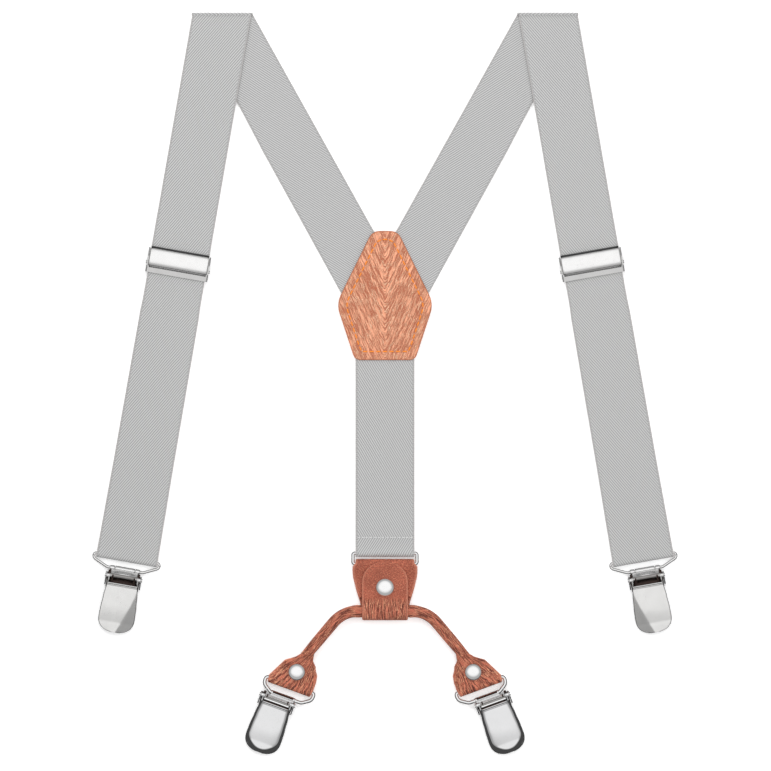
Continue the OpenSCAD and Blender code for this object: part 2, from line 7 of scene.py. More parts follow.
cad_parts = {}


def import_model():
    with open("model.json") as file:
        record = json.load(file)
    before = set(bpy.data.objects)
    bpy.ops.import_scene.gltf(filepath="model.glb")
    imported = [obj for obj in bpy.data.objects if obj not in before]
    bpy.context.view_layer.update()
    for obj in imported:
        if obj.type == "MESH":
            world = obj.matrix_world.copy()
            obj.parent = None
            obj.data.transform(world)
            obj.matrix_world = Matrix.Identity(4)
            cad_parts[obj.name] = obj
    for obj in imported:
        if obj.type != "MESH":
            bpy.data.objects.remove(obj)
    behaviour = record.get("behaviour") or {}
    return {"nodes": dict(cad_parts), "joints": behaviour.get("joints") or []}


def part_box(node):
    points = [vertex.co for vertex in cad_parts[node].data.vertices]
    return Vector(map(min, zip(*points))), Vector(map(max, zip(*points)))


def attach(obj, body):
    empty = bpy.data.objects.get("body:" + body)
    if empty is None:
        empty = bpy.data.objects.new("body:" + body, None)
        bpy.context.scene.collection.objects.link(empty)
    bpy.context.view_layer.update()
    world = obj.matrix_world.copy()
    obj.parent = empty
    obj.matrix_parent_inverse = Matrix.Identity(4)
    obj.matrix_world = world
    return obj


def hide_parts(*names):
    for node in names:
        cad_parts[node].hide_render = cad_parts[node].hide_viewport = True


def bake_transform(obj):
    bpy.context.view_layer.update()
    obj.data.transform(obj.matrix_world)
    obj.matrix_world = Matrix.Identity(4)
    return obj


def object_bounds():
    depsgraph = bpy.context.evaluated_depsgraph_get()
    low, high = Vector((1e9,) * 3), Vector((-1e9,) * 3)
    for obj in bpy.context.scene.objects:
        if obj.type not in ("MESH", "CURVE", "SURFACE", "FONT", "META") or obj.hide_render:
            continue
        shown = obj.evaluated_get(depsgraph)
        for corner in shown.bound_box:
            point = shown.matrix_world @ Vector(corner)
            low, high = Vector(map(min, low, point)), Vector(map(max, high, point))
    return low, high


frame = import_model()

CAD_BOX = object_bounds()
MM = 0.001
UP = Vector((0, 0, 1))
SIDES = {"left": -1, "right": 1}

# ---------------------------------------------------------------- sizes, in millimetres

WEB_T = 1.1          # webbing thickness
WEB_FOLD = 1.62      # middle of the webbing where it turns round a wire
WEB_Z = 1.8          # middle of the webbing where it lies on the rear patch
OVER_Z = 4.9         # middle of the webbing where it crosses the adjuster
LOOP_REACH = 3       # a strap runs flat from here to its turn round a wire
SHOULDER_R = 0.75    # fold at the top of the shoulder
SHOULDER_DROP = 1.35
HIDE_T = 1.8         # connector and yoke leather
HIDE_FOLD = 1.9      # middle of the leather where it turns round a wire
PATCH_T = 1.2        # patch leather
PATCH_CORNERS = [(7.4, 42.4, 7.0), (28.6, -0.4, 14.0), (17.7, -33.5, 4.0)]   # x, y and radius
PATCH_TOP = PATCH_CORNERS[0][1]
SEAM_INSET = 5.0
HINGE_Y = -1.5       # adjuster hinge, below the adjuster's middle
COVER_HALF = 17.35   # half width of the adjuster's cover
CORD_R = 3.5
CORD_DROP = 27.9     # ring wire to the cord
CORD_STRAIGHT = 15.9
CORD_BEND = 18.9     # radius of the bend
CORD_TURN = 50       # degrees
CORD_RUN = 30        # bend to the end inside the tab
CORD_SINKS = 13      # along the run, where the cord starts to flatten into the tab
CONNECTOR_RIVET_R = 5.5
TAB_RIVET_R = 5.1
RIVET_DROP = 14.0    # ring wire to the connector's rivet
LEVER_TIP = {"front": 37.5, "rear": 35.8}   # clip barrel to the lever's tip
NECK = {"front": 8.6, "rear": 6.2}          # clip barrel to the lever's upper edge
LEVER_SKIN = 0.55
LEVER_HALF = 10.72   # widest half width of a lever
LUG_X = 8.6          # lever lugs
EAR_X = 10.3         # frame ears


# ---------------------------------------------------------------- places

def joint(name):
    return next(j for j in frame["joints"] if j["name"] == name)


def place(joint_name, flip=-1, shift=(0, 0, 0)):
    """Matrix of a joint's frame: X across the strap, Y up along it, Z up. shift is in local millimetres."""
    j = joint(joint_name)
    x = Vector(j["axis"]) * flip
    y = UP.cross(x)
    m = Matrix((x, y, UP)).transposed().to_4x4()
    m.translation = Vector(j["pos_m"])
    return m @ Matrix.Translation(Vector(shift) * MM)


def adjuster_place(side):
    """Origin on the floor under the adjuster's middle."""
    name = f"{side}_adjuster_cover_hinge"
    height = joint(name)["pos_m"][2] / MM
    return place(name, 1, (0, -HINGE_Y, -height))


WORLD = Matrix.Identity(4)
FRONT_LEN = -(adjuster_place("left").inverted() @ Vector(joint("front_left_loop_swing")["pos_m"])).y / MM


# ---------------------------------------------------------------- materials

def shader(name):
    mat = bpy.data.materials.new(name)
    mat.use_nodes = True
    tree = mat.node_tree
    return mat, tree, tree.nodes["Principled BSDF"]


def plug(tree, n, inputs):
    """Links or sets a node's inputs."""
    for key, value in inputs.items():
        if isinstance(value, bpy.types.NodeSocket):
            tree.links.new(value, n.inputs[key])
        else:
            n.inputs[key].default_value = value


def node(tree, kind, inputs=None, **props):
    n = tree.nodes.new(kind)
    for key, value in props.items():
        setattr(n, key, value)
    plug(tree, n, inputs or {})
    return n


def maths(tree, operation, a, b=0.0, c=0.0):
    return node(tree, "ShaderNodeMath", {0: a, 1: b, 2: c}, operation=operation).outputs[0]


def remap(tree, value, low, high, to_low=0.0, to_high=1.0, smooth=True):
    kind = "SMOOTHSTEP" if smooth else "LINEAR"
    return node(tree, "ShaderNodeMapRange",
                {0: value, 1: low, 2: high, 3: to_low, 4: to_high}, interpolation_type=kind).outputs[0]


def scaled(tree, a, b):
    return maths(tree, "MULTIPLY", a, b)


def scaled_sum(tree, a, b, c):
    """a times b, plus c."""
    return maths(tree, "MULTIPLY_ADD", a, b, c)


def blend(tree, factor, a, b):
    """Value between a and b."""
    return node(tree, "ShaderNodeMix", {0: factor, 2: a, 3: b}).outputs[0]


def mix(tree, factor, a, b):
    """Colour between a and b."""
    return node(tree, "ShaderNodeMix", {0: factor, 6: a, 7: b}, data_type="RGBA").outputs[2]


def noise(tree, vector, scale, detail=4.0, rough=0.55, distort=0.0):
    return node(tree, "ShaderNodeTexNoise",
                {"Vector": vector, "Scale": scale, "Detail": detail, "Roughness": rough,
                 "Distortion": distort}).outputs[0]


def uv(tree, layer):
    return node(tree, "ShaderNodeUVMap", uv_map=layer).outputs[0]


def split(tree, vector):
    n = node(tree, "ShaderNodeSeparateXYZ", {0: vector})
    return n.outputs[0], n.outputs[1], n.outputs[2]


def join(tree, x, y, z=0.0):
    return node(tree, "ShaderNodeCombineXYZ", {0: x, 1: y, 2: z}).outputs[0]


def bump(tree, bsdf, height, distance, strength=1.0, under=None):
    inputs = {"Height": height, "Distance": distance, "Strength": strength}
    if under is not None:
        inputs["Normal"] = under
    n = node(tree, "ShaderNodeBump", inputs)
    tree.links.new(n.outputs[0], bsdf.inputs["Normal"])
    return n.outputs[0]


def webbing_material():
    """Elastic webbing: steep twill ribs cut into floats by the weft, flat selvedges, a little fuzz."""
    mat, t, bsdf = shader("elastic_twill")
    across, along, _ = split(t, uv(t, "cloth"))
    edge = maths(t, "ABSOLUTE", split(t, uv(t, "edge"))[0])
    sway = noise(t, join(t, across, along), 60.0, 2.0)
    phase = scaled_sum(t, across, 714.0, scaled(t, along, -429.0))
    phase = scaled_sum(t, sway, 0.5, phase)
    rib = remap(t, maths(t, "PINGPONG", phase, 0.5), 0.03, 0.34)
    floats = maths(t, "PINGPONG", scaled_sum(t, along, 1500.0, scaled(t, phase, 0.5)), 0.5)
    floats = remap(t, floats, 0.0, 0.28)
    weave = scaled(t, rib, scaled_sum(t, floats, 0.16, 0.84))
    selvedge = remap(t, edge, 0.925, 0.945)
    rows = remap(t, maths(t, "PINGPONG", scaled(t, along, 900.0), 0.5), 0.0, 0.4)
    height = blend(t, selvedge, weave, scaled(t, rows, 0.6))
    cloud = noise(t, join(t, across, along), 22.0, 3.0)
    grain = noise(t, join(t, across, along), 2600.0, 2.0)
    tone = mix(t, height, (0.23, 0.23, 0.23, 1), (0.49, 0.49, 0.49, 1))
    tone = mix(t, remap(t, cloud, 0.3, 0.7, 0.0, 0.10), tone, (0.40, 0.40, 0.40, 1))
    tone = mix(t, scaled(t, grain, 0.10), tone, (0.36, 0.36, 0.36, 1))
    rim = remap(t, edge, 0.955, 1.0, 0.0, 0.55)
    tone = mix(t, rim, tone, (0.50, 0.46, 0.45, 1))
    plug(t, bsdf, {"Base Color": tone, "Roughness": remap(t, height, 0, 1, 0.92, 0.74, False),
                   "Sheen Weight": 0.18, "Sheen Roughness": 0.45, "Specular IOR Level": 0.28})
    fuzz = bump(t, bsdf, grain, 0.00006, 0.5)
    bump(t, bsdf, height, 0.00022, 0.7, fuzz)
    return mat


def leather_material(name, base, dark, vein, rim, fan, scale, vein_amount):
    """Waxed leather: long creases, paler on their crests with wax and painted highlight and darker in their
    hollows with painted shade, pores, a burnished edge.
    fan turns the creases into a V about the middle line, as on the patch. Where the second edge value is 0,
    the creases give way to a pebbled grain."""
    mat, t, bsdf = shader(name)
    across, along, _ = split(t, uv(t, "cloth"))
    edge, veined, _ = split(t, uv(t, "edge"))
    flat = join(t, across, along)
    cross, apart = across, 0.0
    if fan:
        side = maths(t, "SQRT", scaled_sum(t, across, across, 0.0000006))
        cross = scaled_sum(t, along, -fan, side)
        apart = scaled(t, across, 0.13)
    cross = scaled_sum(t, noise(t, flat, 150.0, 3.0), 0.0022, cross)
    where = join(t, cross, scaled(t, along, 0.07), apart)
    coarse = noise(t, where, scale, 2.0, 0.5, 0.25)
    fine = noise(t, where, scale * 1.9, 2.0, 0.5, 0.2)
    crest = scaled_sum(t, fine, 0.5, scaled(t, coarse, 0.5))
    crest = remap(t, crest, 0.42, 0.58)
    pebble = noise(t, join(t, across, scaled(t, along, 0.6)), scale * 1.5, 3.0, 0.6)
    pebble = scaled_sum(t, remap(t, pebble, 0.40, 0.60), 0.62, 0.36)
    crest = blend(t, veined, pebble, crest)
    thread = maths(t, "ABSOLUTE", maths(t, "SUBTRACT", coarse, 0.52))
    thread = scaled(t, remap(t, thread, 0.0, 0.03, 1.0, 0.0), veined)
    cloud = noise(t, flat, 75.0, 4.0)
    grain = noise(t, flat, 1500.0, 3.0)
    pore = node(t, "ShaderNodeTexVoronoi", {"Vector": flat, "Scale": 1400.0}).outputs[0]
    # Crease tone: the hollows take the dark tone, partly as painted shade, and the crests the paler base,
    # partly wax and partly painted highlight.
    tone = mix(t, crest, dark, base)
    tone = mix(t, remap(t, cloud, 0.35, 0.65, 0.0, 0.30), tone, dark)
    patchy = remap(t, cloud, 0.38, 0.60, 0.35, 1.0)
    tone = mix(t, scaled(t, scaled(t, thread, patchy), vein_amount), tone, vein)
    tone = mix(t, remap(t, grain, 0.52, 0.70, 0.0, 0.35), tone, vein)
    tone = mix(t, remap(t, edge, 0.90, 0.985, 0.0, 0.75), tone, rim)
    plug(t, bsdf, {"Base Color": tone, "Roughness": remap(t, crest, 0.0, 1.0, 0.66, 0.44, False),
                   "Specular IOR Level": 0.34, "Coat Weight": 0.06, "Coat Roughness": 0.38})
    pores = bump(t, bsdf, scaled_sum(t, grain, 1.0, pore), 0.00008, 0.5)
    height = scaled_sum(t, thread, 0.35, crest)
    bump(t, bsdf, height, 0.0004, 0.8, pores)
    return mat


def metal_material(name, colour, dull, rough, brushed):
    """Plated steel: fine brushing or polishing lines, faint cloudiness and finger-worn patches."""
    mat, t, bsdf = shader(name)
    where = node(t, "ShaderNodeTexCoord").outputs["Object"]
    x, y, z = split(t, where)
    lines = noise(t, join(t, scaled(t, x, 3.0), scaled(t, y, 0.35), z), 1500.0, 3.0)
    cloud = noise(t, where, 160.0, 4.0)
    wear = remap(t, noise(t, where, 420.0, 5.0, 0.65), 0.55, 0.72)
    tone = mix(t, remap(t, cloud, 0.35, 0.65, 0.0, 0.55), colour, dull)
    tone = mix(t, scaled(t, wear, 0.08), tone, (0.55, 0.53, 0.50, 1))
    plug(t, bsdf, {"Base Color": tone, "Metallic": 1.0})
    level = scaled_sum(t, cloud, 0.10, rough - 0.05)
    level = scaled_sum(t, wear, 0.08, level)
    plug(t, bsdf, {"Roughness": level, "Anisotropic": 0.35 * brushed})
    bump(t, bsdf, lines, 0.00001, 0.2 * brushed + 0.02)
    return mat


def thread_material(name, colour, dark):
    """Twisted sewing thread."""
    mat, t, bsdf = shader(name)
    across, along, _ = split(t, uv(t, "cloth"))
    ply = maths(t, "PINGPONG", scaled_sum(t, along, 1500.0, scaled(t, across, 900.0)), 0.5)
    ply = remap(t, ply, 0.05, 0.4)
    tone = mix(t, ply, dark, colour)
    tone = mix(t, noise(t, join(t, across, along), 700.0), tone, colour)
    plug(t, bsdf, {"Base Color": tone, "Roughness": 0.6, "Sheen Weight": 0.25, "Sheen Roughness": 0.4})
    bump(t, bsdf, ply, 0.0001, 0.6)
    return mat


def plastic_material():
    """Moulded grip plastic with a fine spark texture and grubby hollows."""
    mat, t, bsdf = shader("moulded_grip")
    where = node(t, "ShaderNodeTexCoord").outputs["Object"]
    spark = noise(t, where, 2500.0, 2.0)
    cloud = noise(t, where, 240.0, 4.0)
    tone = mix(t, remap(t, cloud, 0.35, 0.7), (0.74, 0.73, 0.69, 1), (0.60, 0.58, 0.53, 1))
    plug(t, bsdf, {"Base Color": tone, "Roughness": remap(t, cloud, 0.3, 0.7, 0.45, 0.6),
                   "Specular IOR Level": 0.45})
    bump(t, bsdf, spark, 0.00004, 0.5)
    return mat


def floor_material():
    mat, t, bsdf = shader("pale_floor")
    where = node(t, "ShaderNodeTexCoord").outputs["Object"]
    tone = mix(t, noise(t, where, 40.0), (0.93, 0.93, 0.93, 1), (0.90, 0.90, 0.90, 1))
    plug(t, bsdf, {"Base Color": tone, "Emission Color": tone, "Emission Strength": 0.28, "Roughness": 0.9,
                   "Specular IOR Level": 0.1})
    return mat


WEBBING = webbing_material()
PATCH_LEATHER = leather_material(
    "tan_leather", (0.82, 0.36, 0.215, 1), (0.39, 0.118, 0.06, 1), (1.0, 0.70, 0.47, 1),
    (0.47, 0.14, 0.06, 1), 0.42, 1350.0, 0.85)
# Its very dark tone is partly the leather's own darker hollows and partly painted shade in the creases.
BROWN_LEATHER = leather_material(
    "brown_leather", (0.56, 0.155, 0.09, 1), (0.11, 0.022, 0.014, 1), (1.0, 0.48, 0.28, 1),
    (0.60, 0.23, 0.15, 1), 0.0, 1500.0, 1.0)
NICKEL = metal_material("satin_nickel", (0.80, 0.795, 0.785, 1), (0.76, 0.755, 0.745, 1), 0.22, 0.5)
WHITE_NICKEL = metal_material("pale_nickel", (0.97, 0.965, 0.96, 1), (0.94, 0.935, 0.93, 1), 0.22, 0.5)
# Painted dark reflection: near-black nickel for the adjuster cover's turned-down upper edge, standing in for
# the dark horizon it would mirror.
PAINTED_REFLECTION_NICKEL = metal_material("painted_reflection_nickel", (0.13, 0.13, 0.13, 1), (0.10, 0.10, 0.10, 1), 0.3, 0.4)
GREY_NICKEL = metal_material("shaded_nickel", (0.62, 0.615, 0.61, 1), (0.58, 0.575, 0.57, 1), 0.2, 0.4)
CHROME = metal_material("bright_chrome", (0.80, 0.80, 0.805, 1), (0.77, 0.77, 0.775, 1), 0.06, 0.1)
WHITE_CHROME = metal_material("polished_chrome", (0.97, 0.97, 0.97, 1), (0.95, 0.95, 0.95, 1), 0.06, 0.1)
SPRING = metal_material("grey_spring_steel", (0.42, 0.41, 0.40, 1), (0.34, 0.325, 0.31, 1), 0.38, 1.0)
# Painted shade: near-black steel for the shaded inside of the clips, their relief slots and barrel slits,
# and the jaws.
PAINTED_SHADE_STEEL = metal_material("painted_shade_steel", (0.075, 0.052, 0.046, 1), (0.05, 0.036, 0.032, 1), 0.5, 1.0)
ORANGE_THREAD = thread_material("orange_thread", (0.88, 0.27, 0.03, 1), (0.55, 0.12, 0.015, 1))
GREY_THREAD = thread_material("grey_thread", (0.66, 0.66, 0.66, 1), (0.42, 0.42, 0.42, 1))
GRIP = plastic_material()


# ---------------------------------------------------------------- mesh helpers

def smoothstep(x):
    x = max(0.0, min(1.0, x))
    return x * x * (3 - 2 * x)


def lerp(a, b, t):
    return a + (b - a) * t


def curve(points, x):
    """Smooth value at x from a short list of (x, value) in rising x."""
    if x <= points[0][0]:
        return points[0][1]
    for (x0, y0), (x1, y1) in zip(points, points[1:]):
        if x <= x1:
            return lerp(y0, y1, smoothstep((x - x0) / (x1 - x0)))
    return points[-1][1]


def line(points, x):
    """As curve, with straight stretches."""
    if x <= points[0][0]:
        return points[0][1]
    for (x0, y0), (x1, y1) in zip(points, points[1:]):
        if x <= x1:
            return lerp(y0, y1, (x - x0) / (x1 - x0))
    return points[-1][1]


def steps(a, b, n):
    return [lerp(a, b, i / n) for i in range(n + 1)]


def piece(name, verts, faces, where, material, slot, cloth=None, edge=None, smooth=True):
    """A mesh piece from local millimetres. cloth and edge hold a UV pair for each vertex."""
    me = bpy.data.meshes.new(name)
    me.from_pydata([where @ (Vector(v) * MM) for v in verts], [], faces)
    if where.to_3x3().determinant() < 0:
        me.flip_normals()
    for layer, values in (("cloth", cloth), ("edge", edge)):
        uvs = me.uv_layers.new(name=layer)
        if values:
            for loop in me.loops:
                uvs.data[loop.index].uv = values[loop.vertex_index]
    me.validate()
    me.update()
    obj = bpy.data.objects.new(name, me)
    bpy.context.scene.collection.objects.link(obj)
    me.materials.append(material)
    if smooth:
        me.shade_smooth()
    return obj


def tube_faces(rows, ring, first=0, closed=False, capped=True):
    """Quads between rows of ring points each, with end caps unless it is closed or not capped."""
    faces = []
    last = rows if closed else rows - 1
    for i in range(last):
        a = first + i * ring
        b = first + ((i + 1) % rows) * ring
        for k in range(ring):
            m = (k + 1) % ring
            faces.append((a + k, a + m, b + m, b + k))
    if capped and not closed:
        faces.append(tuple(first + k for k in reversed(range(ring))))
        faces.append(tuple(first + (rows - 1) * ring + k for k in range(ring)))
    return faces


def grid_faces(rows, width, first):
    """Quads between rows of points that aren't closed into a ring."""
    return [(a, b, b + 1, a + 1) for i in range(rows - 1) for a, b in
            ((first + i * width + k, first + (i + 1) * width + k) for k in range(width - 1))]


class Shape:
    """Collects vertices, faces and their cloth and edge coordinates before they become a piece."""

    def __init__(self):
        self.verts, self.faces, self.cloth, self.edge = [], [], [], []
        self.veined = 1.0

    def add(self, point, cloth=(0, 0), edge=0.0):
        self.verts.append(tuple(point))
        self.cloth.append(cloth)
        self.edge.append((edge, self.veined))

    def ribbon(self, stations, thick, columns=12, v0=0.0):
        """A flat strip with rounded edges. A station is (centre, across, normal, half width)."""
        first, ring, along = len(self.verts), 0, v0
        before = None
        t2 = thick / 2
        for centre, across, normal, half in stations:
            if before is not None:
                along += (centre - before).length
            before = centre
            lip = min(t2, half * 0.5)
            flat = [lerp(-half + lip, half - lip, i / columns) for i in range(columns + 1)]
            section = [(a, t2) for a in flat]
            section += [(half - lip * 0.3, t2 * 0.72), (half, 0), (half - lip * 0.3, -t2 * 0.72)]
            section += [(a, -t2) for a in reversed(flat)]
            section += [(-half + lip * 0.3, -t2 * 0.72), (-half, 0), (-half + lip * 0.3, t2 * 0.72)]
            ring = len(section)
            for a, b in section:
                self.add(centre + across * a + normal * b, (a * MM, along * MM), abs(a) / max(half, 0.01))
        self.faces += [tuple(reversed(f)) for f in tube_faces(len(stations), ring, first)]
        return along

    def tube(self, stations, ring=20, closed=False):
        """A tube. A station is (centre, across, normal, half width, half thickness)."""
        first, along, before = len(self.verts), 0.0, None
        for centre, across, normal, a, b in stations:
            if before is not None:
                along += (centre - before).length
            before = centre
            for k in range(ring):
                turn = 2 * math.pi * k / ring
                wide = a * math.cos(turn)
                self.add(centre + across * wide + normal * b * math.sin(turn),
                         (turn * a * MM, along * MM))
        self.faces += tube_faces(len(stations), ring, first, closed)

    def turned(self, centre, profile, ring=40):
        """A body of revolution about Z. The profile is (radius, height), and ends almost at the axis."""
        first = len(self.verts)
        for r, z in profile:
            for k in range(ring):
                turn = 2 * math.pi * k / ring
                self.add(centre + Vector((r * math.cos(turn), r * math.sin(turn), z)))
        self.faces += tube_faces(len(profile), ring, first, capped=False)

    def made(self, name, where, material, slot, smooth=True):
        return piece(name, self.verts, self.faces, where, material, slot, self.cloth, self.edge, smooth)


def path_stations(profile, half, facing=1):
    """Stations of a strip that follows a (y, z) side view. half gives the half width at y and an index.
    facing turns the side that carries the normal."""
    out = []
    for i, (y, z) in enumerate(profile):
        a = profile[max(0, i - 1)]
        b = profile[min(len(profile) - 1, i + 1)]
        run = Vector((0, b[0] - a[0], b[1] - a[1])).normalized()
        normal = Vector((0, -run.z, run.y)) * facing
        out.append((Vector((0, y, z)), Vector((1, 0, 0)), normal, half(y, i)))
    return out


def arc(cy, cz, r, a0, a1, n):
    """Points of an arc in the side view; angles in degrees from +Y towards +Z."""
    return [(cy + r * math.cos(math.radians(a)), cz + r * math.sin(math.radians(a)))
            for a in steps(a0, a1, n)]


def finished(obj, body, replaced=None):
    """Lets a piece ride its body, in place of the CAD node it replaces."""
    if replaced:
        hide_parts(replaced)
    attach(obj, body)
    return obj


# ---------------------------------------------------------------- webbing

def strap_half(y):
    """Half width of a front strap at y below or above its adjuster: it spreads towards the clip."""
    return line([(-FRONT_LEN, 18.2), (-120, 17.7), (0, 17.3), (160, 17.1)], y)


def lower_leg(side, sign):
    """The leg from the patch up to the shoulder, with the soft fold over the top."""
    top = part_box(f"{side}_strap")[1].y / MM - SHOULDER_DROP
    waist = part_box("rear_patch")[1].y / MM - PATCH_TOP
    shoulder = shoulder_point(side)
    stations = []
    for t in steps(0, 1, 30):
        y = lerp(waist - 11, top, t)
        inner = line([(waist - 12, 0.2), (waist + 31, 0.2), (top, abs(shoulder.x) - 18.1)], y)
        outer = line([(waist - 12, 17.5), (waist, 22.6), (waist + 90, 72.3),
                      (top, abs(shoulder.x) + 18.1)], y)
        centre = Vector((sign * (inner + outer) / 2, y, WEB_Z))
        stations.append((centre, Vector((1, 0, 0)), UP, (outer - inner) / 2))
    for a in steps(-90, 90, 8)[1:]:
        out = Vector((0, math.cos(math.radians(a)), math.sin(math.radians(a))))
        centre = Vector((shoulder.x, top, WEB_Z + SHOULDER_R)) + out * SHOULDER_R
        stations.append((centre, Vector((1, 0, 0)), -out, 18.0))
    shape = Shape()
    length = shape.ribbon(stations, WEB_T, 14)
    # The twill crosses the leg at a flatter slant than on the front straps, and a little finer.
    lean, finer = math.radians(26.5), 1.03 * MM
    shape.cloth = [((math.cos(lean) * sign * v[0] - math.sin(lean) * v[1]) * finer,
                    (math.sin(lean) * sign * v[0] + math.cos(lean) * v[1]) * finer) for v in shape.verts]
    obj = shape.made(f"{side}_lower_leg", WORLD, WEBBING, "elastic_webbing")
    return finished(obj, "harness", f"{side}_strap")


def shoulder_point(side):
    """Middle of the shoulder fold: where the strap's own line reaches the top."""
    m = adjuster_place(side)
    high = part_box(f"{side}_strap")[1]
    origin, along = m.translation / MM, m.to_3x3() @ Vector((0, 1, 0))
    return origin + along * ((high.y / MM - origin.y) / along.y)


def upper_leg(side, sign):
    """The leg from the shoulder fold down to the adjuster."""
    m = adjuster_place(side)
    tilt = math.asin(m.to_3x3().col[0].y)
    shoulder = (m.inverted() @ (shoulder_point(side) * MM)) / MM
    start = shoulder.y - SHOULDER_DROP / math.cos(tilt)
    stations = []
    for t in steps(0, 1, 44):
        y = lerp(start, 0.05, t)
        turn = tilt * smoothstep(1 - (start - y) / 40)
        z = line([(0, OVER_Z), (9, OVER_Z), (30, 3.3), (start, 3.3)], y)
        across = Vector((math.cos(turn), -math.sin(turn), 0))
        stations.append((Vector((0, y, z)), across, UP, strap_half(y) / math.cos(turn)))
    shape = Shape()
    length = shape.ribbon(stations, WEB_T, 14)
    shape.cloth = [(-sign * v[0] * MM, v[1] * MM) for v in shape.verts]
    obj = shape.made(f"{side}_upper_leg", m, WEBBING, "elastic_webbing")
    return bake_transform(obj)


def strap_loop(side, sign):
    """From the adjuster down round the clip's wire and back up behind to the adjuster's rear bar."""
    m = adjuster_place(side)
    bar_z = joint(f"front_{side}_loop_swing")["pos_m"][2] / MM
    rear_z = 2.1
    profile = [(-0.05, OVER_Z), (-4, OVER_Z), (-9, OVER_Z), (-16, 4.5), (-23, 4.15), (-30, bar_z + WEB_FOLD)]
    profile += [(y, bar_z + WEB_FOLD) for y in steps(-36, -FRONT_LEN + LOOP_REACH, 30)]
    profile += arc(-FRONT_LEN, bar_z, WEB_FOLD, 90, 270, 10)
    profile += [(y, bar_z - WEB_FOLD) for y in steps(-FRONT_LEN + LOOP_REACH, -34, 30)]
    profile += [(-26, 1.4), (-18, 2.4), (-11, 3.5), (-8, 3.56)]
    profile += arc(-6, rear_z, 1.46, 90, -90, 8)
    profile += [(-10, 0.7), (-18, 0.68), (-26, 0.66)]
    stations = path_stations(profile, lambda y, i: strap_half(y) - (0.3 if y > -30 else 0), -1)
    shape = Shape()
    length = shape.ribbon(stations, WEB_T, 14)
    shape.cloth = [(-sign * u, -v) for u, v in shape.cloth]
    obj = shape.made(f"{side}_strap_loop", m, WEBBING, "elastic_webbing")
    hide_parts(f"{side}_strap_end")
    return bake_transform(obj)


def back_strap():
    """From the patch down round the ring, with its sewn tail behind."""
    ring = Vector(joint("ring_swing")["pos_m"]) / MM
    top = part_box("back_strap")[1].y / MM
    low, split_y = ring.y, ring.y + 14
    profile = [(y, WEB_Z) for y in steps(top, split_y + 14, 24)]
    seam_y = low + 9.3
    profile += [(split_y + 9, 2.2), (split_y + 4, 2.9), (split_y, 3.0), (seam_y + 0.03, 3.05)]
    turned_at = len(profile)
    profile += [(seam_y - 0.03, 3.05), (low + 5, 3.4), (low + 2.2, 4.3)]
    profile += arc(low, ring.z, WEB_FOLD, 75, 270, 12)
    profile += [(low + LOOP_REACH, 1.72), (low + 8, 1.71), (low + 13.6, 1.7)]
    stations = path_stations(profile, lambda y, i: 17.3, -1)
    shape = Shape()
    length = shape.ribbon(stations, WEB_T, 14)
    row = len(shape.verts) // len(profile)
    shape.cloth = [(-u if i < turned_at * row else u, -v) for i, (u, v) in enumerate(shape.cloth)]
    obj = shape.made("back_strap_webbing", WORLD, WEBBING, "elastic_webbing")
    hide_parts("back_strap", "back_strap_end")
    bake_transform(obj)
    seams = Shape()
    for x in steps(-15.4, 15.4, 13):
        stitch(seams, Vector((x - 1.0, seam_y, 3.72)), Vector((x + 1.0, seam_y, 3.72)), 0.22)
    obj = seams.made("back_strap_stitches", WORLD, GREY_THREAD, "elastic_webbing")
    return finished(obj, "back_strap_end")


def stitch(shape, a, b, r):
    """One thread stitch from a to b that dives into the sheet at both ends."""
    run = (b - a).normalized()
    across = Vector((-run.y, run.x, 0))
    stations = []
    for t in steps(0, 1, 6):
        dip = (2 * t - 1) ** 4 * r * 1.6
        shrink = math.sqrt(max(0.08, 1 - (2 * t - 1) ** 6))
        stations.append((a.lerp(b, t) - UP * dip, across, UP, r * 1.25 * shrink, r * shrink))
    shape.tube(stations, 8)


# ---------------------------------------------------------------- patch

def rounded_outline(corners, inset, per_corner=10):
    """Outline of the patch, moved inwards by inset, as points that run clockwise from the top left."""
    pts = [Vector((x, y)) for x, y, _ in corners]
    pts = [Vector((-p.x, p.y)) for p in reversed(pts)] + pts
    radii = [r for _, _, r in reversed(corners)] + [r for _, _, r in corners]
    n = len(pts)
    moved = []
    for i in range(n):
        a = (pts[i] - pts[i - 1]).normalized()
        b = (pts[(i + 1) % n] - pts[i]).normalized()
        na, nb = Vector((a.y, -a.x)), Vector((b.y, -b.x))
        moved.append(pts[i] + (na + nb) * inset / (1 + na.dot(nb)))
    out = []
    for i in range(n):
        p, r = moved[i], max(0.6, radii[i] - inset)
        a = (p - moved[i - 1]).normalized()
        b = (moved[(i + 1) % n] - p).normalized()
        turn = a.angle(b)
        heart = p - a * r * math.tan(turn / 2) + Vector((a.y, -a.x)) * r
        start = math.atan2(a.x, -a.y)
        for k in range(per_corner + 1):
            angle = start - turn * k / per_corner
            out.append(heart + Vector((math.cos(angle), math.sin(angle))) * r)
    return out


def even_outline(corners, inset, count):
    """The outline again, as count points at even distances."""
    pts = rounded_outline(corners, inset)
    pts = pts + [pts[0]]
    lengths = [(b - a).length for a, b in zip(pts, pts[1:])]
    total, out, i, run = sum(lengths), [], 0, 0.0
    for k in range(count):
        goal = total * k / count
        while run + lengths[i] < goal:
            run += lengths[i]
            i += 1
        out.append(pts[i].lerp(pts[i + 1], (goal - run) / lengths[i]))
    return out


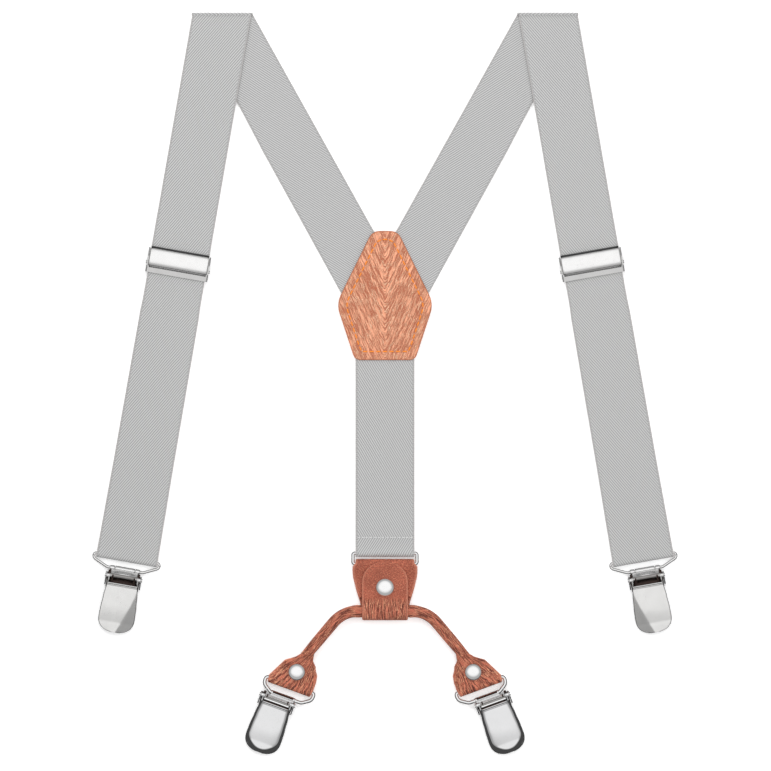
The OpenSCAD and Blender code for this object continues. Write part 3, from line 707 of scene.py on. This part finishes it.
def patch(name, where, facing, z0):
    """One leather patch: rolled, burnished edge, a hollow along the seam and a slight swell inside it."""
    rings = [(0.25, 0.0), (0.0, 0.25), (0.0, 0.75), (0.25, 1.08), (0.8, 1.2), (2.6, 1.24), (4.3, 1.2),
             (5.0, 1.02), (5.7, 1.16), (8.5, 1.3), (12.0, 1.36), (15.0, 1.38), (17.0, 1.4)]
    count = 120
    shape = Shape()
    heart = Vector((0, 2.0))
    for inset, z in rings:
        shrink = 1.0 if inset < 9 else 0.72 * (18.4 - inset) / 9.4
        for p in even_outline(PATCH_CORNERS, min(inset, 8.5), count):
            p = heart + (p - heart) * shrink
            shape.add((p.x, p.y, z0 + facing * z * PATCH_T / 1.4), (p.x * MM, p.y * MM),
                      1.0 if inset < 0.5 else max(0.0, 1 - inset / 9))
    faces = tube_faces(len(rings), count)
    shape.faces = [tuple(reversed(f)) for f in faces] if facing > 0 else faces
    obj = shape.made(name + "_leather", where, PATCH_LEATHER, "patch_leather")
    return finished(obj, "harness", name)


def patches():
    low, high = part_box("front_patch")
    where = Matrix.Translation((0, high.y - PATCH_TOP * MM, 0))
    patch("front_patch", where, 1, low.z / MM)
    patch("rear_patch", where, -1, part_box("rear_patch")[1].z / MM)
    seam = Shape()
    outline = even_outline(PATCH_CORNERS, SEAM_INSET, 46)
    z = low.z / MM + PATCH_T
    for a, b in zip(outline, outline[1:] + outline[:1]):
        p, q = a.lerp(b, 0.10), a.lerp(b, 0.90)
        stitch(seam, Vector((p.x, p.y, z)), Vector((q.x, q.y, z)), 0.36)
        stitch(seam, Vector((q.x, q.y, -0.02)), Vector((p.x, p.y, -0.02)), 0.02)
    obj = seam.made("patch_stitches", where, ORANGE_THREAD, "seam_thread")
    return finished(obj, "harness", "patch_seam")


# ---------------------------------------------------------------- leather connector and yoke

def connector():
    where = place("connector_swing")
    z = joint("connector_swing")["pos_m"][2] / MM
    cord_z = joint("yoke_turn")["pos_m"][2] / MM - z
    wide = [(-24, 14.4), (-22, 14.9), (-15, 17.1), (-7, 19.0), (-2, 19.2), (-0.6, 18.6), (0.2, 17.35),
            (9, 17.3)]
    profile = [(-CORD_DROP + 1, -HIDE_FOLD)] + [(y, -HIDE_FOLD) for y in steps(-24, -1, 16)]
    profile += arc(0, 0, HIDE_FOLD, -90, 90, 12)
    profile += [(-1.6, 1.75), (-3.4, 1.2), (-5.5, 0.35), (-8, -0.1)]
    profile += [(y, -0.1) for y in steps(-9.5, -20, 10)]
    half_way = len(profile) // 2

    def half(y, i):
        return line(wide, y) if i > half_way else min(17.3, line(wide, y))

    shape = Shape()
    shape.veined = 0.0
    shape.ribbon(path_stations(profile, half, 1), HIDE_T, 14)
    tongue, tip, rounding = 13.5, 1.3, 12.2
    over = [tip - s for s in (0.0, 0.3, 0.9, 1.8, 3.0, 4.5, 6.5, 9.0, 12.0, 14.5)]
    profile = [(y, line([(-9, 1.72), (-2, 3.3), (0, 3.72), (tip, 3.5)], y)) for y in over]
    profile += [(-16.5, 1.72), (-18.6, 1.8), (-20.4, 2.5), (-22.2, 4.2), (-23.6, 5.6)]
    profile += arc(-CORD_DROP, cord_z, CORD_R + 0.95, 125, 270, 16)

    def round_tip(y, i):
        s = max(0.0, min(tongue, tip - y)) if i < len(over) + 3 else tongue
        reach = math.sqrt(max(0.0, 1 - ((rounding - min(s, rounding)) / rounding) ** 2.15))
        return max(0.9, tongue * reach)

    # Long creases show only on the keeper, below the rivet.
    first = len(shape.verts)
    shape.ribbon(path_stations(profile, round_tip, -1), HIDE_T, 14, v0=40.0)
    for i in range(first, len(shape.verts)):
        shape.edge[i] = (shape.edge[i][0], smoothstep((-20.5 - shape.verts[i][1]) / 1.5))
    obj = shape.made("connector_leather", where, BROWN_LEATHER, "brown_leather")
    finished(obj, "connector", "connector")
    rivet("connector_rivet", where, Vector((0, -RIVET_DROP, 2.62)), CONNECTOR_RIVET_R, -z + 0.5, "connector")


def rivet(name, where, at, radius, back_z, body):
    """Domed cap with a turned-down rim, and the flat head behind at back_z."""
    shape = Shape()
    dome = [(radius * 0.96, -0.35), (radius, 0.0), (radius, 0.28), (radius * 0.985, 0.42)]
    dome += [(radius * math.cos(math.radians(a)) * 0.975, 0.42 + 1.6 * math.sin(math.radians(a)))
             for a in (12, 22, 34, 46, 58, 70, 80, 86)]
    shape.turned(at, dome + [(0.001, 2.02)])
    back = Vector((at.x, at.y, back_z))
    shape.turned(back, [(1.4, 2.2), (1.4, 0.0), (4.5, 0.0), (4.5, -0.3), (4.2, -0.48), (0.001, -0.5)])
    obj = shape.made(name + "_cap", where, WHITE_CHROME, "bright_chrome")
    return finished(obj, body, name)


def cord_route():
    """Middle line of the cord from the keeper to the tab on the right, on the plane of the cord."""
    turn = math.radians(CORD_TURN)
    route = [Vector((CORD_STRAIGHT * t, 0, 0)) for t in steps(0, 1, 10)]
    for a in steps(0, turn, 16)[1:]:
        route.append(Vector((CORD_STRAIGHT + CORD_BEND * math.sin(a), -CORD_BEND * (1 - math.cos(a)), 0)))
    end, down = route[-1], Vector((math.cos(turn), -math.sin(turn), 0))
    return route + [end + down * s for s in steps(0, CORD_RUN, 18)[1:]]


def yoke():
    centre = Vector(joint("yoke_turn")["pos_m"]) / MM
    route = cord_route()
    last = len(route) - 1
    bent = last - 18
    shape = Shape()
    for side, sign in SIDES.items():
        stations = []
        for i, p in enumerate(route):
            run = (route[min(i + 1, last)] - route[max(i - 1, 0)]).normalized()
            s = smoothstep((max(0.0, i - bent) / 18 * CORD_RUN - CORD_SINKS) / (CORD_RUN - CORD_SINKS))
            thick = CORD_R * 0.97 * (1.0 + 0.10 * math.exp(-((p.x - 15.5) / 3.0) ** 2))
            here = centre + Vector((sign * p.x, p.y, lerp(0.0, -2.2, s)))
            across = Vector((-run.y, sign * run.x, 0))
            stations.append((here, across, UP, lerp(thick, 3.0, s), lerp(thick, 0.9, s)))
        shape.tube(stations, 24)
        tab(shape, side, sign)
    obj = shape.made("yoke_leather", WORLD, BROWN_LEATHER, "brown_leather")
    finished(obj, "yoke", "yoke")
    for side, sign in SIDES.items():
        where = place(f"rear_{side}_loop_swing")
        z = joint(f"rear_{side}_loop_swing")["pos_m"][2] / MM
        rivet(f"{side}_tab_rivet", where, Vector((-sign * 1.0, 8.4, 2.85)), TAB_RIVET_R, -z + 0.5, "yoke")


# Half outlines of a tab, as (y, x) from the clip's wire: the side of the middle, and the outer side.
TAB_INNER = [(-2, 13.4), (1.5, 13.9), (6, 13.9), (9.6, 13.3), (14.3, 10.8), (18.5, 7.6), (22.4, 7.0),
             (26, 7.2)]
TAB_OUTER = [(-2, -13.4), (1.5, -13.8), (6.3, -11.4), (13.1, -8.0), (16.6, -2.9), (20.3, 0.2), (23.6, 1.2),
             (26, 1.6)]


def tab(shape, side, sign):
    """Folded leaf-shaped tab round the rear clip's wire, which gathers into the cord."""
    where = place(f"rear_{side}_loop_swing")
    basis = where.to_3x3()

    def across_tab(y, z, margin=0.0):
        inner, outer = curve(TAB_INNER, y), line(TAB_OUTER, y)
        middle = Vector((-sign * (inner + outer) / 2, y, z))
        return (where @ (middle * MM)) / MM, (inner - outer) / 2 - margin

    profile = [(y, -HIDE_FOLD) for y in steps(17, 1, 10)]
    profile += arc(0, 0, HIDE_FOLD, 270, 90, 12)
    profile += [(y, HIDE_FOLD + 0.02) for y in steps(1.5, 14, 12)]
    profile += [(y, HIDE_FOLD + 0.02 - 1.9 * smoothstep((y - 14) / 10)) for y in steps(15, 25, 10)]
    stations = []
    for centre, across, normal, _ in path_stations(profile, lambda y, i: 0.0):
        middle, half = across_tab(centre.y, centre.z)
        stations.append((middle, basis @ across, basis @ normal, half))
    first = len(shape.verts)
    shape.ribbon(stations, HIDE_T, 16, v0=20.0)
    # The creases fan out from the cord.
    apex = Vector((-sign * 9.0, 31.0))
    for i in range(first, len(shape.verts)):
        local = (where.inverted() @ (Vector(shape.verts[i]) * MM)) / MM
        away = Vector((local.x, local.y)) - apex
        shape.cloth[i] = (math.atan2(away.x, -away.y) * 24.0 * MM, away.length * MM)
    core = []
    for y in steps(6, 21, 8):
        middle, half = across_tab(y, 0, 0.7)
        core.append((middle, basis.col[0].copy(), UP, half))
    shape.ribbon(core, 2.2, 8)


# ---------------------------------------------------------------- metal

def lever_half(v):
    """Half width of a lever at v, from 0 at its upper edge to 1 at its tip."""
    if v < 0.68:
        return curve([(0, 9.2), (0.3, 10.1), (0.52, 10.6), (0.68, LEVER_HALF)], v)
    return LEVER_HALF * (1 - ((v - 0.68) / 0.32) ** 2.5) ** (1 / 2.3)


def lever_crown(v):
    """Height of a lever's crown at v, with the rolled bead and the groove under it."""
    z = 4.9 + 0.8 * math.sin(math.pi * min(1.0, v / 0.8)) - 0.8 * smoothstep((v - 0.40) / 0.6)
    z -= 0.12 * smoothstep((v - 0.84) / 0.16)
    return z + 0.2 * math.exp(-((v - 0.012) / 0.012) ** 2) - 0.42 * math.exp(-((v - 0.042) / 0.011) ** 2)


def facet_drop(v, c, half, front):
    """Fall of the facet beyond the ridge that runs down a lever, on its side of the middle."""
    ridge = (1.06 - 0.95 * v) if front else (0.95 - 0.16 * v)
    slope = (0.42 if front else 0.45) * smoothstep(v / 0.16)
    soft = 0.03
    over = min(40.0, (c - ridge) / soft)
    return soft * math.log1p(math.exp(over)) * half * slope


def rim_drop(x, ahead):
    """Fall of a rear lever's rounded rim, deeper and wider round the tip than along the sides."""
    inset = 10.2 - math.hypot(x, ahead * 1.07)
    round_tip = smoothstep(ahead / 6)
    return 2.6 * smoothstep(1 - (inset + 0.3) / (1.5 + 1.6 * round_tip)) * (0.55 + 0.45 * round_tip)


def lever_point(v, c, inner, end, skin):
    """A point on the lever's outside, or skin below it. c runs from -1 to 1 across, inner is 1 or -1."""
    front = end == "front"
    half = max(0.6, lever_half(v) - skin)
    wall = max(0.0, 1 - abs(c) ** (140 if front else 16)) ** 0.5
    bow = 0.06 if front else 0.13 * c * c + 0.07
    length = LEVER_TIP[end] - NECK[end] - skin * smoothstep(v)
    crown = lever_crown(v) - skin + 0.5
    crown -= min(crown * 0.8, facet_drop(v, inner * c, half, front))
    if not front:
        crown -= rim_drop(half * c, max(0.0, v * length - (length - 9.5)))
    z = -0.5 + max(crown, 0.8) * wall * (1 - bow * c * c)
    return (half * c, -NECK[end] - v * length, max(z, -0.5))


def lever(end, side, sign):
    """Domed clip lever: beaded upper edge, rounded sides, and a flatter facet on the side of the middle."""
    where = place(f"{end}_{side}_clip_swing")
    rows = steps(0.0, 0.10, 14) + steps(0.12, 0.80, 24) + steps(0.815, 0.955, 14)
    rows += [0.965, 0.974, 0.982, 0.988, 0.993, 0.997]
    columns = 64
    width = columns + 1
    shape = Shape()
    for skin in (0.0, LEVER_SKIN):
        first = len(shape.verts)
        for v in rows:
            for k in range(width):
                point = lever_point(v, -math.cos(math.pi * k / columns), -sign, end, skin)
                shape.add(point, (point[0] * MM, point[1] * MM))
        faces = grid_faces(len(rows), width, first)
        faces.append(tuple(first + (len(rows) - 1) * width + k for k in range(width)))
        shape.faces += faces if skin == 0 else [tuple(reversed(f)) for f in faces]
    edge = list(reversed(range(width)))
    edge += [i * width for i in range(1, len(rows))]
    edge += [i * width + columns for i in reversed(range(1, len(rows)))]
    shell = len(rows) * width
    for a, b in zip(edge, edge[1:] + edge[:1]):
        shape.faces.append((a, shell + a, shell + b, b))
    name = f"{end}_{side}_lever"
    material, slot = (NICKEL, "satin_nickel") if end == "front" else (CHROME, "bright_chrome")
    finished(shape.made(name + "_shell", where, material, slot), name, name)
    pivot = (where.inverted() @ Vector(joint(name + "_hinge")["pos_m"])) / MM
    neck = 3.2 - pivot.y
    # Lugs beside the hinge pin.
    outline = [(pivot.y + 1.5 * math.cos(math.radians(a)), pivot.z + 1.5 * math.sin(math.radians(a)))
               for a in steps(100, -80, 12)]
    outline += [(-neck - 0.2, 1.4), (-neck - 4, 0.9), (-neck - 5, -0.3), (pivot.y - 1.5, pivot.z - 1.5)]
    cheeks = Shape()
    for x in (-LUG_X, LUG_X):
        plate(cheeks, x, 0.8, outline)
    return finished(cheeks.made(name + "_cheeks", where, material, slot, smooth=False), name)


def convex(points):
    """Convex outline of side-view points, counter-clockwise."""
    pts = sorted(set(points))

    def chain(seq):
        out = []
        for p in seq:
            while len(out) > 1 and ((out[-1][0] - out[-2][0]) * (p[1] - out[-2][1])
                                    - (out[-1][1] - out[-2][1]) * (p[0] - out[-2][0])) <= 0:
                out.pop()
            out.append(p)
        return out[:-1]

    return chain(pts) + chain(reversed(pts))


def wire(name, corners, radii, r, material, slot):
    """A loop of round wire with soft bends, which closes behind the strap or tab."""
    pts = [Vector(p) for p in corners]
    n, route = len(pts), []
    for i in range(n):
        p, a, b = pts[i], (pts[i] - pts[i - 1]).normalized(), (pts[(i + 1) % n] - pts[i]).normalized()
        reach = radii[i] * math.tan(a.angle(b) / 2)
        for t in steps(0, 1, 8):
            route.append((p - a * reach).lerp(p, t).lerp(p.lerp(p + b * reach, t), t))
    stations = []
    for i, q in enumerate(route):
        run = (route[(i + 1) % len(route)] - route[i - 1]).normalized()
        stations.append((Vector((q.x, q.y, 0)), Vector((run.y, -run.x, 0)), UP, r, r))
    shape = Shape()
    shape.tube(stations, 16, closed=True)
    return finished(shape.made(name + "_wire", place(name + "_swing"), material, slot), name, name)


def wires(side):
    corners = [(-19.5, 0.1), (-19.5, -2.7), (-10.6, -6.8), (10.6, -6.8), (19.5, -2.7), (19.5, 0.1)]
    wire(f"front_{side}_loop", corners, [1.5, 2.4, 4.0, 4.0, 2.4, 1.5], 0.8, WHITE_NICKEL, "satin_nickel")
    corners = [(-15.0, 0.1), (-15.0, -4.2), (-9.6, -7.8), (9.6, -7.8), (15.0, -4.2), (15.0, 0.1)]
    wire(f"rear_{side}_loop", corners, [1.8, 4.0, 4.0, 4.0, 4.0, 1.8], 1.05, WHITE_CHROME, "bright_chrome")


def slab(shape, outline, z0, z1):
    """A flat plate from a plan outline, counter-clockwise, with bevelled edges."""
    first, n = len(shape.verts), len(outline)
    bevel = 0.12
    middle = Vector((sum(p[0] for p in outline) / n, sum(p[1] for p in outline) / n))
    for shrink, z in [(bevel, z0), (0.0, z0 + bevel), (0.0, z1 - bevel), (bevel, z1)]:
        for x, y in outline:
            p = Vector((x, y))
            p += (middle - p).normalized() * shrink
            shape.add((p.x, p.y, z), (p.x * MM, p.y * MM))
    shape.faces += tube_faces(4, n, first)


def box_plan(x, half, y0, y1):
    return [(x - half, y0), (x + half, y0), (x + half, y1), (x - half, y1)]


def plate(shape, x, thick, outline):
    """An upright plate at x from a side-view outline."""
    hull = convex(outline)
    first = len(shape.verts)
    for dx in (-thick / 2, thick / 2):
        for y, z in hull:
            shape.add((x + dx, y, z), (y * MM, z * MM))
    shape.faces += tube_faces(2, len(hull), first)


def sheet_grid(shape, rows, thick):
    """A thin curved sheet from rows of points with the same number of columns; thick is measured down."""
    first, n, m = len(shape.verts), len(rows), len(rows[0])
    for drop in (0.0, thick):
        for row in rows:
            for p in row:
                shape.add((p[0], p[1], p[2] - drop), (p[0] * MM, p[1] * MM))
    shell = n * m
    shape.faces += grid_faces(n, m, first)
    shape.faces += [tuple(reversed(f)) for f in grid_faces(n, m, first + shell)]
    edge = list(reversed(range(m))) + [i * m for i in range(1, n)]
    edge += [(n - 1) * m + k for k in range(1, m)] + [i * m + m - 1 for i in reversed(range(1, n - 1))]
    for a, b in zip(edge, edge[1:] + edge[:1]):
        shape.faces.append((first + a, first + shell + a, first + shell + b, first + b))


def clip_neck(end, lean):
    """Rows of the neck, which rises from the barrel over the pin and ends in an arched edge."""
    front = end == "front"
    barrel_half, edge_half = (8.0, 8.0) if front else (7.4, 7.8)
    foot = -NECK[end] + (3.0 if front else 0.9)
    crest = -NECK[end] + (5.3 if front else 0.9)
    base_y, base_z, rise = -0.9, 1.3, 3.05
    rows = []
    for t in steps(0, 1, 12):
        row = []
        for c in steps(-1, 1, 28):
            x = lerp(lean + c * barrel_half, c * edge_half, smoothstep(t * 1.6))
            arch = lerp(foot, crest, max(0.0, 1 - (x / (9.0 if front else 8.6)) ** 2))
            row.append((x, lerp(base_y, arch, t), lerp(base_z, rise, smoothstep(min(1.0, t * 1.1)))))
        rows.append(row)
    return rows, foot, edge_half


def clip_frame(end, side, sign):
    """Barrel rolled round the wire, arched neck, pinned ears and the plate behind the jaw."""
    front = end == "front"
    where = place(f"{end}_{side}_clip_swing")
    name, body = f"{end}_{side}_clip_frame", f"{end}_{side}_clip"
    material, slot = (WHITE_NICKEL, "satin_nickel") if front else (WHITE_CHROME, "bright_chrome")
    pivot = (where.inverted() @ Vector(joint(f"{end}_{side}_lever_hinge")["pos_m"])) / MM
    lean = 0.0 if front else -sign * 2.3
    top, heel = pivot.y + 2, pivot.y - 5.6
    shape = Shape()
    knuckles = [(-8.9, -6.2), (-5.8, 5.8), (6.2, 8.9)] if front else [(-7.4, 7.4)]
    for x0, x1 in knuckles:
        stations = path_stations(arc(0, 0, 1.22, 200, -60, 18), lambda y, i: (x1 - x0) / 2)
        middle = Vector(((x0 + x1) / 2 + lean, 0, 0))
        shape.ribbon([(c + middle, a, n, h) for c, a, n, h in stations], 0.5, 8)
    rows, foot, edge_half = clip_neck(end, lean)
    sheet_grid(shape, rows, 0.6)
    # Ears, joined to the neck by narrow bridges beside the relief slots.
    for s in (-1, 1):
        outline = [(top, -1.8), (top, 1.6), (pivot.y + 1.2, 3.3), (pivot.y + 0.4, 3.75),
                   (pivot.y - 0.4, 3.75), (pivot.y - 1.2, 3.3), (heel, 0.6), (heel, -1.8)]
        plate(shape, s * EAR_X, 0.7, outline)
        middle, half = s * (EAR_X + edge_half) / 2, (EAR_X - edge_half) / 2 + 0.2
        slab(shape, box_plan(middle, half, pivot.y - 0.9, pivot.y + 0.9), 2.75, 3.3)
    # Back plate.
    tip = LEVER_TIP[end] - 0.9
    outline = [(-EAR_X - 0.3, top)]
    outline += [(-max(0.8, lever_half(v) - 0.7), lerp(heel, -tip, v)) for v in steps(0.12, 1.0, 18)]
    outline += [(-x, y) for x, y in reversed(outline)]
    slab(shape, outline, -1.8, -1.05)
    finished(shape.made(name + "_shell", where, material, slot), body, name)
    # Spring over the pin.
    coil = Shape()
    path = [(foot + 2.4, 2.95), (foot + 1.2, 2.9), (foot + 0.5, 2.7), (foot + 0.05, 2.2), (foot - 0.15, 1.4)]
    coil.ribbon(path_stations(path, lambda y, i: 8.6 if front else 7.7, -1), 0.3, 12)
    finished(coil.made(f"{end}_{side}_spring", where, SPRING, slot), body)
    # Painted shade: dark plates for the shaded inside of the clip, its relief slots, and the slit in the
    # rear barrels.
    dark = Shape()
    slab(dark, box_plan(0.0, 9.6, -NECK[end] - 3, foot + 1.6), -1.02, -0.75)
    slots = [(-8.7, pivot.y + 1.3), (8.7, pivot.y + 1.3)] if front else [(sign * 8.4, pivot.y + 0.9)]
    for x, y in slots:
        slab(dark, box_plan(x, 0.75, y - 1.6, y + 2.0), 2.0, 2.2)
    if not front:
        bed = path_stations(arc(0, 0, 1.49, 92, 52, 5), lambda y, i: 6.4)
        dark.ribbon([(c + Vector((lean, 0, 0)), a, n, h) for c, a, n, h in bed], 0.1, 6)
    return finished(dark.made(f"{end}_{side}_inside", where, PAINTED_SHADE_STEEL, slot), body)


def adjuster_cover(side):
    """Domed cover with a turned-down upper edge that carries a painted dark reflection."""
    where = place(f"{side}_adjuster_cover_hinge", 1)
    body = f"{side}_adjuster_cover"
    # The lip of the upper edge is coloured near black as a painted dark reflection.
    lip = [(9.45, -2.1), (9.45, -1.3), (9.35, -0.95), (9.0, -0.55), (8.6, -0.15), (8.2, 0.14)]
    edge = Shape()
    edge.ribbon(path_stations(lip, lambda y, i: COVER_HALF - 0.05, -1), 0.5, 20)
    finished(edge.made(f"{side}_cover_lip", where, PAINTED_REFLECTION_NICKEL, "bright_chrome"), body)
    profile = [(8.3, 0.1), (7.9, 0.36), (7.0, 0.6), (5.6, 0.82), (3.8, 1.0), (1.6, 1.06), (0.2, 0.96),
               (-0.9, 0.7), (-1.5, 0.35), (-1.85, -0.1), (-1.95, -0.6)]
    fine = []
    for a, b in zip(profile, profile[1:]):
        fine += [a, (lerp(a[0], b[0], 0.5), lerp(a[1], b[1], 0.5))]
    fine.append(profile[-1])
    shape = Shape()
    shape.ribbon(path_stations(fine, lambda y, i: COVER_HALF, -1), 0.62, 20)
    return finished(shape.made(f"{side}_cover_plate", where, WHITE_NICKEL, "bright_chrome"), body, body)


def dress_nodes():
    """Materials of the CAD nodes that stay."""
    for name, obj in frame["nodes"].items():
        if obj.hide_render:
            continue
        if name.endswith("pad"):
            material = GRIP
        # The jaws sit in the clip's shade and take the painted shade steel.
        elif name.endswith("jaw"):
            material = PAINTED_SHADE_STEEL
        elif name.startswith("rear_") or name == "ring":
            material = WHITE_CHROME
        elif "adjuster" in name:
            material = GREY_NICKEL
        else:
            material = WHITE_NICKEL
        obj.data.materials.clear()
        obj.data.materials.append(material)


# ---------------------------------------------------------------- making it all

for side, sign in SIDES.items():
    lower_leg(side, sign)
    upper_leg(side, sign)
    strap_loop(side, sign)
back_strap()
patches()
connector()
yoke()
for side, sign in SIDES.items():
    adjuster_cover(side)
    wires(side)
    for end in ("front", "rear"):
        clip_frame(end, side, sign)
        lever(end, side, sign)
dress_nodes()


# ---------------------------------------------------------------- stage, light, camera

def floor():
    """Wide pale floor that metal doesn't mirror, just under the object."""
    me = bpy.data.meshes.new("floor")
    s = 3.0
    me.from_pydata([(-s, -s, 0), (s, -s, 0), (s, s, 0), (-s, s, 0)], [], [(0, 1, 2, 3)])
    obj = bpy.data.objects.new("floor", me)
    bpy.context.scene.collection.objects.link(obj)
    me.materials.append(floor_material())
    obj.location.z = -0.0002
    obj.visible_glossy = False


def softbox(name, at, size, energy):
    """A soft light that points at the middle of the frame."""
    data = bpy.data.lights.new(name, "AREA")
    data.shape = "RECTANGLE"
    data.size, data.size_y = size
    data.energy = energy
    obj = bpy.data.objects.new(name, data)
    bpy.context.scene.collection.objects.link(obj)
    obj.location = at
    obj.rotation_euler = (-Vector(at)).to_track_quat("-Z", "Y").to_euler()
    obj.visible_glossy = False


def world():
    """Even light for cloth and leather. Metal mirrors a dome: bright overhead, dark at the horizon."""
    w = bpy.data.worlds.new("studio")
    bpy.context.scene.world = w
    w.use_nodes = True
    t = w.node_tree
    background = t.nodes["Background"]
    _, back, height = split(t, node(t, "ShaderNodeTexCoord").outputs["Generated"])
    height = scaled_sum(t, maths(t, "MINIMUM", back, 0.0), 0.34, height)
    low = remap(t, height, 0.02, 0.38, 0.07, 0.42)
    dome = maths(t, "ADD", low, remap(t, height, 0.66, 0.95, 0.0, 0.56))
    glossy = node(t, "ShaderNodeLightPath").outputs["Is Glossy Ray"]
    level = blend(t, glossy, 0.86, dome)
    background.inputs[0].default_value = (1, 1, 1, 1)
    t.links.new(level, background.inputs[1])


def camera():
    """Straight down on the object, a little off its middle as in the photo."""
    low, high = CAD_BOX[0], CAD_BOX[1]
    data = bpy.data.cameras.new("camera")
    data.type = "ORTHO"
    data.ortho_scale = (high[1] - low[1]) * 1.0402
    data.dof.use_dof = False
    obj = bpy.data.objects.new("camera", data)
    bpy.context.scene.collection.objects.link(obj)
    obj.location = ((low[0] + high[0]) / 2 + 0.0003, (low[1] + high[1]) / 2 - 0.0014, 1.5)
    bpy.context.scene.camera = obj


floor()
world()
softbox("key", (-0.25, 0.55, 0.9), (0.9, 0.6), 5.0)
softbox("fill", (0.5, -0.1, 1.0), (0.7, 0.9), 3.2)
camera()
bpy.context.scene.view_settings.view_transform = "Standard"
